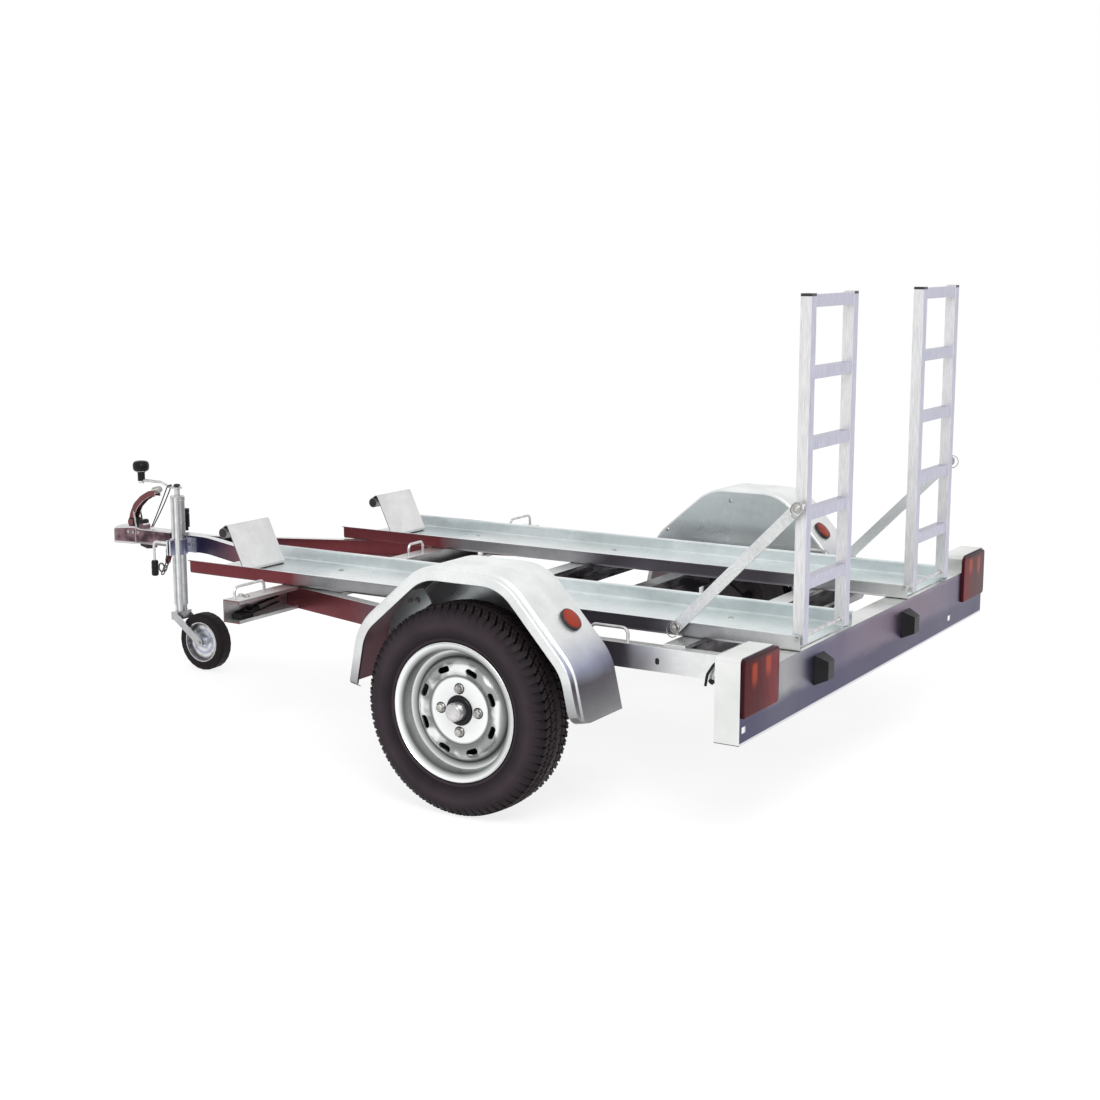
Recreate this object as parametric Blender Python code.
# Quad bike trailer: two steel tracks on a bolted channel frame, with loading ramps standing at the back.
# +X points to the coupling, +Y to the left and +Z up. The chassis empty stands over the axle line.

import math

import bmesh
import bpy
from mathutils import Matrix, Vector

# Shared clearances
SEAT_GAP = 0.0003
CUT_OVERRUN = 0.012
RUNNING_GAP = 0.006

# Counts of sides on round shapes
WHEEL_SIDES = 36
HUB_SIDES = 24
PIN_SIDES = 12
ROD_SIDES = 8
BEND_STEPS = 4

# Road wheels
WHEEL_MID_INSET = 0.0175
TYRE_RADIUS = 0.279
TYRE_WIDTH = 0.150
TYRE_WALL = 0.012
TREAD_WIDTH = 0.106
TREAD_CROWN = 0.003
SHOULDER_DROP = 0.014
RIM_FLANGE_RADIUS = 0.182
RIM_SEAT_RADIUS = 0.1655
RIM_WELL_RADIUS = 0.146
RIM_WIDTH = 0.134
RIM_LIP = 0.011
RIM_SHEET = 0.0035
RIM_WELL_WIDTH = 0.036
RIM_WELL_OFFSET = 0.012
DISC_FACE_OFFSET = 0.034
DISC_FACE_RADIUS = 0.090
DISC_CROWN_RADIUS = 0.112
DISC_CROWN_RISE = 0.010
DISC_RIM_DIP = 0.016
DISC_BORE_RADIUS = 0.040
SLOT_COUNT = 8
SLOT_RADIUS = 0.1115
SLOT_LENGTH = 0.034
SLOT_WIDTH = 0.013
SLOT_TURN = math.radians(22.5)

# Hubs
HUB_FLANGE_RADIUS = 0.070
HUB_FLANGE_THICKNESS = 0.010
HUB_BARREL_RADIUS = 0.031
HUB_LENGTH = 0.072
HUB_BORE_RADIUS = 0.0155
HUB_CAP_RADIUS = 0.024
HUB_CAP_LENGTH = 0.036
HUB_CAP_EDGE = 0.005

# Frame channels
DECK_Z = 0.4565
RAIL_TOP_Z = 0.4535
RAIL_HEIGHT = 0.064
RAIL_FLANGE = 0.035
RAIL_SHEET = 0.003
RAIL_INSET = 0.214
RAIL_BEND_X = 0.330
RAIL_END_INSET = 0.367
RAIL_BEND_RADIUS = 0.150
RAIL_HOLE_REACH = 0.333
RAIL_HOLE_Z = 0.417
RAIL_HOLE_RADIUS = 0.006
RAIL_HOLE_HEIGHT = 0.018
MEMBER_HEIGHT = 0.0665
MEMBER_DEPTH = 0.060
REAR_MEMBER_REACH = 0.302
MIDDLE_MEMBER_X = 0.315
FRONT_MEMBER_X = 0.863
FRONT_MEMBER_INSET = 0.088
MEMBER_LIP = 0.010

# V-shaped drawbar, and the tube that carries the coupling
DRAWBAR_HEIGHT = 0.057
DRAWBAR_FLANGE = 0.030
DRAWBAR_START_Y = 0.351
DRAWBAR_BEND_REACH = 0.453
DRAWBAR_END_REACH = 0.318
DRAWBAR_BEND_RADIUS = 0.200
DRAWBAR_PLATE_THICKNESS = 0.006
DRAWBAR_PLATE_REACH = 0.018
TUBE_BACK_REACH = 0.400
TUBE_FRONT_REACH = 0.145
TUBE_HEIGHT = 0.042
TUBE_WALL = 0.004

# Rear light bar
BAR_BACK = 0.782
BAR_DEPTH = 0.066
BAR_HALF_WIDTH = 0.900
BAR_BOTTOM_Z = 0.297
BAR_SHEET = 0.0025
BAR_EAR_TOP_Z = 0.508
BAR_EAR_WIDTH = 0.195
BAR_LIP = 0.018
BAR_CORNER = 0.012
BAR_WINDOW_HEIGHT = 0.016
BAR_WINDOW_WIDTH = 0.022
BAR_WINDOW_Z = 0.332
BAR_WINDOW_END_INSET = 0.024
BAR_WINDOW_INNER_INSET = 0.307

# Tail lamps, set in windows of the bar's ears
LAMP_WIDTH = 0.182
LAMP_HEIGHT = 0.134
LAMP_END_INSET = 0.007
LAMP_TOP_INSET = 0.0065
LAMP_CORNER = 0.010
LAMP_LENS_THICKNESS = 0.008
LAMP_LENS_PROUD = 0.004
LAMP_LENS_BEVEL = 0.003
LAMP_BODY_DEPTH = 0.042
LAMP_BODY_TAPER = 0.012

# Lamps over the blank plate's place
PLATE_CENTRE_Y = 0.110
PLATE_LAMP_SPREAD = 0.3175
PLATE_LAMP_WIDTH = 0.062
PLATE_LAMP_HEIGHT = 0.078
PLATE_LAMP_DEPTH = 0.034
PLATE_LAMP_TAPER = 0.012
PLATE_LAMP_MID_Z = 0.388

# Tracks
TRACK_INNER_Y = 0.210
TRACK_OUTER_INSET = 0.344
TRACK_OVERHANG = 0.001
TRACK_FRONT = 1.257
TRACK_HEIGHT = 0.042
TRACK_SHEET = 0.0025
TRACK_LIP = 0.009
TRACK_BEND_RADIUS = 0.005
TRACK_NOTCH = 0.015

# Wheel stops
STOP_WIDTH_SHARE = 0.5636
STOP_FOOT_X = 1.105
STOP_FOOT_LENGTH = 0.045
STOP_RISE = 0.143
STOP_LEAN = 0.066
STOP_FOLD_REACH = 0.028
STOP_FOLD_DROP = 0.020
STOP_SHEET = 0.003

# Ramps
RAMP_OUTER_INSET = 0.0085
RAMP_INNER_INSET = 0.035
RAMP_TOP_Z = 1.343
RAMP_STILE = 0.030
RAMP_MID_REACH = 0.009
RAMP_PIVOT_Z = 0.487
RAMP_FOOT_DROP = 0.0165
RAMP_RUNG_HEIGHT = 0.030
RAMP_RUNG_DEPTH = 0.026
RAMP_RUNG_PITCH_SHARE = 0.2005
RAMP_RUNG_COUNT = 5
RAMP_RUNG_INSET = 0.00375
RAMP_PIVOT_RADIUS = 0.005
RAMP_PIVOT_HEAD_RADIUS = 0.0062
RAMP_PIVOT_HEAD_LENGTH = 0.006
PIN_CLEARANCE = 0.0004

# Braces that hold the ramps up
BRACE_WIDTH = 0.032
BRACE_THICKNESS = 0.005
BRACE_LOW_REACH = 0.341
BRACE_LOW_Z = 0.482
BRACE_TOP_Z = 0.820
BRACE_SIDE_GAP = 0.002
BRACE_PIN_RADIUS = 0.005
BRACE_PIN_HEAD_RADIUS = 0.009
BRACE_PIN_HEAD_LENGTH = 0.005
BRACE_BOSS_RADIUS = 0.008

# Axle with trailing arms
AXLE_TUBE = 0.060
AXLE_TUBE_WALL = 0.004
AXLE_TUBE_X = 0.125
AXLE_TUBE_INSET = 0.180
ARM_THICKNESS = 0.018
ARM_INSET = 0.166
ARM_BIG_RADIUS = 0.034
ARM_SMALL_RADIUS = 0.026
STUB_RADIUS = 0.015
STUB_END_INSET = 0.012

# Mudguards, with the line over the wheel from front foot to rear foot
GUARD_INNER_INSET = 0.163
GUARD_FOLD_REACH = 0.030
GUARD_OUTER_REACH = 0.044
GUARD_FRONT_FOOT = (0.348, 0.309)
GUARD_FRONT_KNEE = (0.316, 0.474)
GUARD_FRONT_TOP = (0.110, 0.652)
GUARD_REAR_TOP = (-0.153, 0.652)
GUARD_REAR_KNEE = (-0.349, 0.435)
GUARD_REAR_FOOT = (-0.380, 0.297)
GUARD_BEND_RADIUS = 0.150
GUARD_SHEET = 0.0025
GUARD_STEP_DEPTH = 0.012
GUARD_STEP_RISE = 0.005
GUARD_LIP_DEPTH = 0.036
GUARD_LIP_RETURN = 0.006
GUARD_INNER_LIP = 0.016

# Plates inside the mudguards, with their arms from the rails
BRACKET_SHEET = 0.003
BRACKET_TOP_GAP = 0.0045
BRACKET_FRONT_X = 0.290
BRACKET_REAR_X = -0.300
BRACKET_BOTTOM_Z = 0.462
BRACKET_ARM_X = 0.150
BRACKET_ARM_WIDTH = 0.036
BRACKET_ARM_HEIGHT = 0.040
BRACKET_ARM_RISE = 0.012
STAY_INSET = 0.073
STAY_POINTS = ((0.302, 0.389), (0.277, 0.481), (0.242, 0.527), (0.208, 0.558), (0.175, 0.567), (0.162, 0.555))
STAY_INNER_RADIUS = 0.290
STAY_ARM_X = 0.215
STAY_ARM_Z = 0.500

# Side reflectors on the mudguards' rear slopes
REFLECTOR_RADIUS = 0.031
REFLECTOR_THICKNESS = 0.010
REFLECTOR_EDGE = 0.003
REFLECTOR_SLOPE_SHARE = 0.58
REFLECTOR_INSET = 0.088

# Tie-down loops
LOOP_ROD_RADIUS = 0.0045
LOOP_HEIGHT = 0.040
LOOP_BEND_RADIUS = 0.016
LOOP_FRONT_INNER_INSET = 0.232
LOOP_FRONT_OUTER_INSET = 0.103
LOOP_CENTRE_Y = -0.090
LOOP_CENTRE_SPAN = 0.080
LOOP_REAR_REACH = 0.482
LOOP_REAR_SPAN = 0.110

# Jockey wheel
JOCKEY_REACH = 0.370
JOCKEY_Y = 0.075
JOCKEY_OUTER_RADIUS = 0.024
JOCKEY_TUBE_WALL = 0.0025
JOCKEY_TUBE_BOTTOM_Z = 0.220
JOCKEY_TUBE_TOP_Z = 0.598
JOCKEY_INNER_RADIUS = 0.0205
JOCKEY_INNER_TOP_Z = 0.560
JOCKEY_CAP_HEIGHT = 0.004
JOCKEY_NECK_RADIUS = 0.010
JOCKEY_NECK_HEIGHT = 0.030
JOCKEY_DISC_RADIUS = 0.018
JOCKEY_DISC_THICKNESS = 0.005
JOCKEY_DOME_RADIUS = 0.008
JOCKEY_DOME_HEIGHT = 0.007
JOCKEY_WHEEL_RADIUS = 0.100
JOCKEY_WHEEL_WIDTH = 0.050
JOCKEY_TRAIL = 0.110
JOCKEY_TYRE_HEIGHT = 0.030
JOCKEY_RIM_DISH = 0.014
FORK_BRIDGE_BOTTOM_Z = 0.168
FORK_BRIDGE_HEIGHT = 0.028
FORK_BRIDGE_LENGTH = 0.030
FORK_ARM_THICKNESS = 0.004
FORK_ARM_WIDTH = 0.028
FORK_AXLE_RADIUS = 0.006
CRANK_RADIUS = 0.005
CRANK_LINE = ((0.0, 0.6305), (0.035, 0.6305), (0.074, 0.645), (0.167, 0.645))
CRANK_BEND_RADIUS = 0.025
CRANK_STEM_RADIUS = 0.011
CRANK_STEM_HEIGHT = 0.032
CRANK_CAP_RADIUS = 0.026
CRANK_CAP_HEIGHT = 0.035
CRANK_CAP_EDGE = 0.004

# Jockey clamp
CLAMP_HEIGHT = 0.052
CLAMP_BOTTOM_Z = 0.399
CLAMP_WALL = 0.005
CLAMP_PLATE_LENGTH = 0.086
CLAMP_EAR_REACH = 0.026
CLAMP_EAR_GAP = 0.008
CLAMP_SCREW_RADIUS = 0.005
CLAMP_SCREW_RISE = 0.041
CLAMP_HANDLE_DROP = 0.072
CLAMP_HANDLE_REACH = 0.080
CLAMP_GRIP_RADIUS = 0.011
CLAMP_GRIP_LENGTH = 0.054
CLAMP_GRIP_EDGE = 0.006

# Coupling, with each reach measured back from its tip
COUPLING_LENGTH = 0.288
COUPLING_TIP_X = 2.130
COUPLING_WALL = 0.004
COUPLING_BALL_RADIUS = 0.026
COUPLING_HEAD_RADIUS = 0.037
COUPLING_NECK_REACH = 0.108
COUPLING_NECK_HALF_WIDTH = 0.027
COUPLING_BALL_Z = 0.424
COUPLING_TOP_Z = 0.466
COUPLING_BACK_TOP_Z = 0.460
COUPLING_BACK_BOTTOM_Z = 0.408
COUPLING_SKIRT_Z = 0.402
COUPLING_LIP_HEIGHT = 0.008
COUPLING_LIP_FLARE = 0.004
COUPLING_BACK_EDGE_SHARE = 0.2
COUPLING_NECK_EDGE_SHARE = 0.4
COUPLING_HEAD_EDGE_SHARE = 0.6
LEVER_WIDTH = 0.030
LEVER_DEPTH = 0.020
LEVER_SHEET = 0.003
LEVER_BACK_LINE = (
    (0.072, 0.480),
    (0.080, 0.510),
    (0.100, 0.547),
    (0.135, 0.577),
    (0.180, 0.600),
    (0.205, 0.598),
)
LEVER_BEND_RADIUS = 0.050
LEVER_PIVOT_REACH = 0.084
LEVER_BOSS_RADIUS = 0.0125
LEVER_BOSS_WIDTH = 0.038
LATCH_REACH = 0.135
LATCH_RADIUS = 0.012
LATCH_WIDTH = 0.034

# Worked-out places across, which follow the light bar's width
WHEEL_MID_Y = BAR_HALF_WIDTH - WHEEL_MID_INSET
RAIL_OUTER_Y = BAR_HALF_WIDTH - RAIL_INSET
RAIL_END_Y = BAR_HALF_WIDTH - RAIL_END_INSET
FRONT_MEMBER_END_Y = BAR_HALF_WIDTH - FRONT_MEMBER_INSET
BAR_WINDOW_INNER_Y = BAR_HALF_WIDTH - BAR_WINDOW_INNER_INSET
TRACK_OUTER_Y = BAR_HALF_WIDTH - TRACK_OUTER_INSET
STOP_WIDTH = (TRACK_OUTER_Y - TRACK_INNER_Y) * STOP_WIDTH_SHARE
RAMP_OUTER_Y = TRACK_OUTER_Y - RAMP_OUTER_INSET
RAMP_INNER_Y = TRACK_INNER_Y + RAMP_INNER_INSET
AXLE_TUBE_HALF_WIDTH = BAR_HALF_WIDTH - AXLE_TUBE_INSET
ARM_Y = BAR_HALF_WIDTH - ARM_INSET
GUARD_INNER_Y = BAR_HALF_WIDTH - GUARD_INNER_INSET
GUARD_FOLD_Y = BAR_HALF_WIDTH + GUARD_FOLD_REACH
GUARD_OUTER_Y = BAR_HALF_WIDTH + GUARD_OUTER_REACH
STAY_Y = BAR_HALF_WIDTH - STAY_INSET
REFLECTOR_Y = BAR_HALF_WIDTH - REFLECTOR_INSET
LOOP_FRONT_INNER_Y = BAR_HALF_WIDTH - LOOP_FRONT_INNER_INSET
LOOP_FRONT_OUTER_Y = BAR_HALF_WIDTH - LOOP_FRONT_OUTER_INSET
SIDES = (("left", 1), ("right", -1))

# Worked-out places along, which follow the light bar's back
TRACK_BACK = BAR_BACK + TRACK_OVERHANG
RAMP_MID_X = RAMP_MID_REACH - BAR_BACK
BRACE_LOW_X = BRACE_LOW_REACH - BAR_BACK
RAIL_HOLE_X = RAIL_HOLE_REACH - BAR_BACK
REAR_MEMBER_X = REAR_MEMBER_REACH - BAR_BACK
LOOP_REAR_X = LOOP_REAR_REACH - BAR_BACK

# Worked-out places along, which follow the coupling's tip
DRAWBAR_BEND_X = COUPLING_TIP_X - DRAWBAR_BEND_REACH
DRAWBAR_END_X = COUPLING_TIP_X - DRAWBAR_END_REACH
TUBE_BACK_X = COUPLING_TIP_X - TUBE_BACK_REACH
TUBE_FRONT_X = COUPLING_TIP_X - TUBE_FRONT_REACH
JOCKEY_X = COUPLING_TIP_X - JOCKEY_REACH
COUPLING_BACK_X = COUPLING_TIP_X - COUPLING_LENGTH
COUPLING_NECK_X = COUPLING_TIP_X - COUPLING_NECK_REACH
LEVER_LINE = [(COUPLING_TIP_X - back, z) for back, z in LEVER_BACK_LINE]
LEVER_PIVOT_X = COUPLING_TIP_X - LEVER_PIVOT_REACH
LATCH_X = COUPLING_TIP_X - LATCH_REACH

# Other worked-out places
RAMP_RUNG_PITCH = (RAMP_TOP_Z - RAMP_PIVOT_Z + RAMP_FOOT_DROP) * RAMP_RUNG_PITCH_SHARE
BACK_REACH = BAR_BACK + PLATE_LAMP_DEPTH + SEAT_GAP
CHASSIS_X = (BACK_REACH - COUPLING_TIP_X) / 2
RAIL_BOTTOM_Z = RAIL_TOP_Z - RAIL_HEIGHT
BAR_WEB_FRONT_X = -BAR_BACK + BAR_SHEET
DRAWBAR_BACK_X = FRONT_MEMBER_X + MEMBER_DEPTH / 2 + SEAT_GAP
DRAWBAR_OUTER_Y = DRAWBAR_FLANGE + SEAT_GAP / 2
TUBE_HALF_WIDTH = DRAWBAR_OUTER_Y - RAIL_SHEET - SEAT_GAP
TUBE_TOP_Z = DECK_Z - RAIL_SHEET - SEAT_GAP
TRACK_MID_Y = (TRACK_INNER_Y + TRACK_OUTER_Y) / 2
TRACK_BOTTOM_Z = DECK_Z + SEAT_GAP
TRACK_FLOOR_Z = TRACK_BOTTOM_Z + TRACK_SHEET
HUB_FACE_Y = WHEEL_MID_Y + DISC_FACE_OFFSET - SEAT_GAP
JOCKEY_WHEEL_X = JOCKEY_X - JOCKEY_TRAIL


def material(name, colour, roughness, metallic):
    """A plain Principled material."""
    made = bpy.data.materials.new(name)
    made.use_nodes = True
    shader = made.node_tree.nodes["Principled BSDF"]
    shader.inputs["Base Color"].default_value = (*colour, 1)
    shader.inputs["Roughness"].default_value = roughness
    shader.inputs["Metallic"].default_value = metallic
    made.diffuse_color = (*colour, 1)
    return made


def rounded(points, radius, steps=BEND_STEPS):
    """The open polyline with each of its corners turned into an arc."""
    points = [Vector(point) for point in points]
    path = [points[0]]
    for before, corner, after in zip(points, points[1:], points[2:]):
        back = before - corner
        ahead = after - corner
        half = back.angle(ahead) / 2
        reach = min(radius / math.tan(half), back.length / 2, ahead.length / 2)
        back.normalize()
        ahead.normalize()
        centre = corner + (back + ahead).normalized() * reach / math.cos(half)
        start = corner + back * reach - centre
        end = corner + ahead * reach - centre
        turn = math.pi - 2 * half
        for step in range(steps + 1):
            along = turn * step / steps
            path.append(centre + (start * math.sin(turn - along) + end * math.sin(along)) / math.sin(turn))
    path.append(points[-1])
    return path


def side_steps(path):
    """At each point of a flat path, the mitred vector to its right-hand side, for a width of one."""
    steps = []
    for i, point in enumerate(path):
        before = (point - path[i - 1]).normalized() if i else None
        after = (path[i + 1] - point).normalized() if i + 1 < len(path) else before
        before = before or after
        right_before = Vector((before.y, -before.x))
        right_after = Vector((after.y, -after.x))
        middle = (right_before + right_after).normalized()
        steps.append(middle / middle.dot(right_before))
    return steps


def beside(path, offset):
    """The line at an offset to the right of a flat path."""
    return [point + step * offset for point, step in zip(path, side_steps(path))]


def line_at(line, x):
    """The second coordinate of a line at x, its end stretches carried on straight."""
    for start, end in zip(line, line[1:]):
        if x <= end.x:
            break
    return start.y + (end.y - start.y) * (x - start.x) / (end.x - start.x)


def folded(points, thickness):
    """The closed outline of a folded sheet, whose thickness lies to the right of the points."""
    points = [Vector(point) for point in points]
    return points + beside(points, thickness)[::-1]


def box_outline(low_a, high_a, low_b, high_b):
    return [(low_a, low_b), (high_a, low_b), (high_a, high_b), (low_a, high_b)]


def rounded_box(low_a, high_a, low_b, high_b, radius):
    """A rectangle's outline with round corners."""
    middle = (low_a + high_a) / 2
    corners = box_outline(low_a, high_a, low_b, high_b)
    return rounded([(middle, low_b)] + corners[1:] + corners[:1] + [(middle, low_b)], radius)[:-1]


def circle(centre_a, centre_b, radius, sides=PIN_SIDES):
    turns = [2 * math.pi * i / sides for i in range(sides)]
    return [(centre_a + radius * math.cos(t), centre_b + radius * math.sin(t)) for t in turns]


def stadium(centre_a, centre_b, radius, length, angle, sides=PIN_SIDES):
    """A slot's outline: two half circles and the straight sides between them."""
    outline = []
    for i in range(sides):
        turn = 2 * math.pi * (i + 0.5) / sides
        reach = (length / 2 - radius) * (1 if math.cos(turn) > 0 else -1)
        a = reach + radius * math.cos(turn)
        b = radius * math.sin(turn)
        outline.append(
            (
                centre_a + a * math.cos(angle) - b * math.sin(angle),
                centre_b + a * math.sin(angle) + b * math.cos(angle),
            )
        )
    return outline


def placed(axis, along, a, b):
    """The point at a distance along one axis, whose other two coordinates are a and b in order."""
    return {"X": (along, a, b), "Y": (a, along, b), "Z": (a, b, along)}[axis]


def loft(rings, closed=False):
    """A closed mesh through rings of equally many points, capped at both ends or closed on itself."""
    bm = bmesh.new()
    rows = [[bm.verts.new(point) for point in ring] for ring in rings]
    count = len(rows[0])
    for i in range(len(rows) if closed else len(rows) - 1):
        first = rows[i]
        second = rows[(i + 1) % len(rows)]
        for j in range(count):
            k = (j + 1) % count
            bm.faces.new((first[j], first[k], second[k], second[j]))
    if not closed:
        bm.faces.new(rows[0][::-1])
        bm.faces.new(rows[-1])
    bmesh.ops.recalc_face_normals(bm, faces=bm.faces)
    return bm


def prism(outline, axis, low, high):
    """The outline carried along an axis."""
    return loft([[placed(axis, along, *point) for point in outline] for along in (low, high)])


def tapered(outline, axis, low, high, low_inset, high_inset):
    """The outline carried along an axis, drawn in towards its middle by one length at each end."""
    points = [Vector(point) for point in outline]
    middle = sum(points, Vector((0, 0))) / len(points)
    half = max((abs((point - middle).x) for point in points))
    rings = []
    for along, inset in ((low, low_inset), (high, high_inset)):
        shrunk = [middle + (point - middle) * (1 - inset / half) for point in points]
        rings.append([placed(axis, along, *point) for point in shrunk])
    return loft(rings)


def turned(profile, axis, centre=(0, 0, 0), sides=HUB_SIDES):
    """A profile of (radius, place along the axis) points turned about the axis."""
    bm = bmesh.new()
    rows = []
    for radius, along in profile:
        if radius:
            ring = circle(0, 0, radius, sides)
            rows.append([bm.verts.new(placed(axis, along, *point)) for point in ring])
        else:
            rows.append([bm.verts.new(placed(axis, along, 0, 0))] * sides)
    for first, second in zip(rows, rows[1:] + rows[:1]):
        for i in range(sides):
            j = (i + 1) % sides
            corners = list(dict.fromkeys((first[i], first[j], second[j], second[i])))
            if len(corners) > 2:
                bm.faces.new(corners)
    bmesh.ops.translate(bm, verts=bm.verts, vec=centre)
    bmesh.ops.recalc_face_normals(bm, faces=bm.faces)
    return bm


def rod(path, radius, sides=ROD_SIDES):
    """A round rod along a path in space, with flat ends."""
    path = [Vector(point) for point in path]
    rings = []
    across = None
    for i, point in enumerate(path):
        before = (point - path[i - 1]).normalized() if i else Vector()
        after = (path[i + 1] - point).normalized() if i + 1 < len(path) else Vector()
        ahead = (before + after).normalized()
        if across is None:
            across = ahead.orthogonal()
        across = (across - ahead * across.dot(ahead)).normalized()
        over = ahead.cross(across)
        rings.append([point + across * a + over * b for a, b in circle(0, 0, radius, sides)])
    return loft(rings)


def bent(path, section, axis):
    """A section of (offset to the right, place along the axis) points carried along a flat path."""
    rings = []
    for point, step in zip(path, side_steps(path)):
        rings.append([placed(axis, along, *(point + step * offset)) for offset, along in section])
    return loft(rings)


def add(name, bm, finish, side=1, origin=(0, 0, 0)):
    """An object from a mesh that is drawn for the left side, with its origin at the given point."""
    origin = Vector(origin)
    bmesh.ops.translate(bm, verts=bm.verts, vec=-origin)
    if side < 0:
        bmesh.ops.scale(bm, verts=bm.verts, vec=(1, -1, 1))
        bmesh.ops.reverse_faces(bm, faces=bm.faces)
        origin.y = -origin.y
    mesh = bpy.data.meshes.new(name)
    bm.to_mesh(mesh)
    bm.free()
    mesh.shade_smooth()
    mesh.set_sharp_from_angle(angle=math.radians(32))
    made = bpy.data.objects.new(name, mesh)
    bpy.context.scene.collection.objects.link(made)
    if finish:
        mesh.materials.append(finish)
    made.parent = chassis
    made.location = origin
    return made


def combine(target, bm, operation, side=1):
    """Joins a mesh to an object, or cuts it out, with a Boolean that stays live."""
    tool = add(f"{target.name}_{operation.lower()}_{len(target.modifiers)}", bm, None, side)
    tool.hide_render = True
    tool.display_type = "WIRE"
    modifier = target.modifiers.new(tool.name, "BOOLEAN")
    modifier.operation = operation
    modifier.object = tool


def cut(target, bm, side=1):
    combine(target, bm, "DIFFERENCE", side)


def join(target, bm, side=1):
    combine(target, bm, "UNION", side)


def rail_path():
    """The plan line of a side rail's outer face, from the light bar to the front member."""
    corners = [
        (BAR_WEB_FRONT_X + SEAT_GAP, RAIL_OUTER_Y),
        (RAIL_BEND_X, RAIL_OUTER_Y),
        (FRONT_MEMBER_X + MEMBER_DEPTH / 2, RAIL_END_Y),
    ]
    return rounded(corners, RAIL_BEND_RADIUS)


def rail_y(x, inset):
    """Where a line at the given inset from the rail's outer face crosses x."""
    return line_at(beside(rail_path(), inset), x)


def channel_section(flange, low, high):
    """A channel lying on its side: web at no offset, flanges to the right."""
    return folded([(flange, low), (0, low), (0, high), (flange, high)], RAIL_SHEET)


def side_rail(name, side):
    """A channel with its web outside, bent in towards the front member."""
    section = channel_section(RAIL_FLANGE, RAIL_BOTTOM_Z, RAIL_TOP_Z)
    made = add(f"side_rail_{name}", bent(rail_path(), section, "Z"), galvanised, side)
    outline = stadium(RAIL_HOLE_X, RAIL_HOLE_Z, RAIL_HOLE_RADIUS, RAIL_HOLE_HEIGHT, math.pi / 2)
    low = RAIL_OUTER_Y - RAIL_SHEET - CUT_OVERRUN
    cut(made, prism(outline, "Y", low, RAIL_OUTER_Y + CUT_OVERRUN), side)


def drawbar_arm(name, side):
    """A channel from a plate on the front member to the middle, where the two arms run side by side."""
    corners = [
        (DRAWBAR_BACK_X, DRAWBAR_START_Y),
        (DRAWBAR_BEND_X, DRAWBAR_OUTER_Y),
        (DRAWBAR_END_X, DRAWBAR_OUTER_Y),
    ]
    path = rounded(corners, DRAWBAR_BEND_RADIUS)
    low = DECK_Z - DRAWBAR_HEIGHT
    bm = bent(path, channel_section(DRAWBAR_FLANGE, low, DECK_Z), "Z")
    slope = (path[1].y - path[0].y) / (path[1].x - path[0].x)
    for vertex in bm.verts:
        if vertex.co.x < path[1].x - DRAWBAR_FLANGE:
            vertex.co.y += slope * (DRAWBAR_BACK_X - vertex.co.x)
            vertex.co.x = DRAWBAR_BACK_X
    made = add(f"drawbar_arm_{name}", bm, galvanised, side)
    low_y = DRAWBAR_START_Y - DRAWBAR_FLANGE - DRAWBAR_PLATE_REACH
    high_y = DRAWBAR_START_Y + DRAWBAR_PLATE_REACH
    plate = box_outline(low_y, high_y, low - RAIL_SHEET, DECK_Z - RAIL_SHEET / 2)
    join(made, prism(plate, "X", DRAWBAR_BACK_X, DRAWBAR_BACK_X + DRAWBAR_PLATE_THICKNESS), side)


def drawbar_tube():
    """A square tube held between the arms, which goes on into the coupling."""
    low = TUBE_TOP_Z - TUBE_HEIGHT
    outline = box_outline(-TUBE_HALF_WIDTH, TUBE_HALF_WIDTH, low, TUBE_TOP_Z)
    made = add("drawbar_tube", prism(outline, "X", TUBE_BACK_X, TUBE_FRONT_X), galvanised)
    half = TUBE_HALF_WIDTH - TUBE_WALL
    inner = box_outline(-half, half, low + TUBE_WALL, TUBE_TOP_Z - TUBE_WALL)
    cut(made, prism(inner, "X", TUBE_BACK_X - CUT_OVERRUN, TUBE_FRONT_X + CUT_OVERRUN))


def member_section(x):
    """A lipped channel, open at the back, under the tracks."""
    back = x - MEMBER_DEPTH / 2
    front = x + MEMBER_DEPTH / 2
    bottom = DECK_Z - MEMBER_HEIGHT
    points = [
        (back, bottom + MEMBER_LIP),
        (back, bottom),
        (front, bottom),
        (front, DECK_Z),
        (back, DECK_Z),
        (back, DECK_Z - MEMBER_LIP),
    ]
    return folded(points, -RAIL_SHEET)


def cross_member(name, x):
    """A member between the rails, whose ends follow the edges of their flanges."""
    bm = prism(member_section(x), "Y", -1, 1)
    for vertex in bm.verts:
        vertex.co.y *= rail_y(vertex.co.x, RAIL_FLANGE) - SEAT_GAP
    return add(name, bm, galvanised)


def outrigger(name, side):
    """The front member goes on outside the rail."""
    bm = prism(member_section(FRONT_MEMBER_X), "Y", 0, FRONT_MEMBER_END_Y)
    for vertex in bm.verts:
        if not vertex.co.y:
            vertex.co.y = rail_y(vertex.co.x, 0) + SEAT_GAP
    add(f"front_outrigger_{name}", bm, galvanised, side)


def bar_outline(inset):
    """The light bar from behind: a long low web with an ear at each end."""
    ear_y = BAR_HALF_WIDTH - BAR_EAR_WIDTH + inset
    end_y = BAR_HALF_WIDTH - inset
    top = DECK_Z - inset
    ear_top = BAR_EAR_TOP_Z - inset
    bottom = BAR_BOTTOM_Z + inset
    left = rounded([(ear_y, top), (ear_y, ear_top), (end_y, ear_top), (end_y, bottom)], BAR_CORNER)
    return left[::-1] + [(-y, z) for y, z in left]


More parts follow.
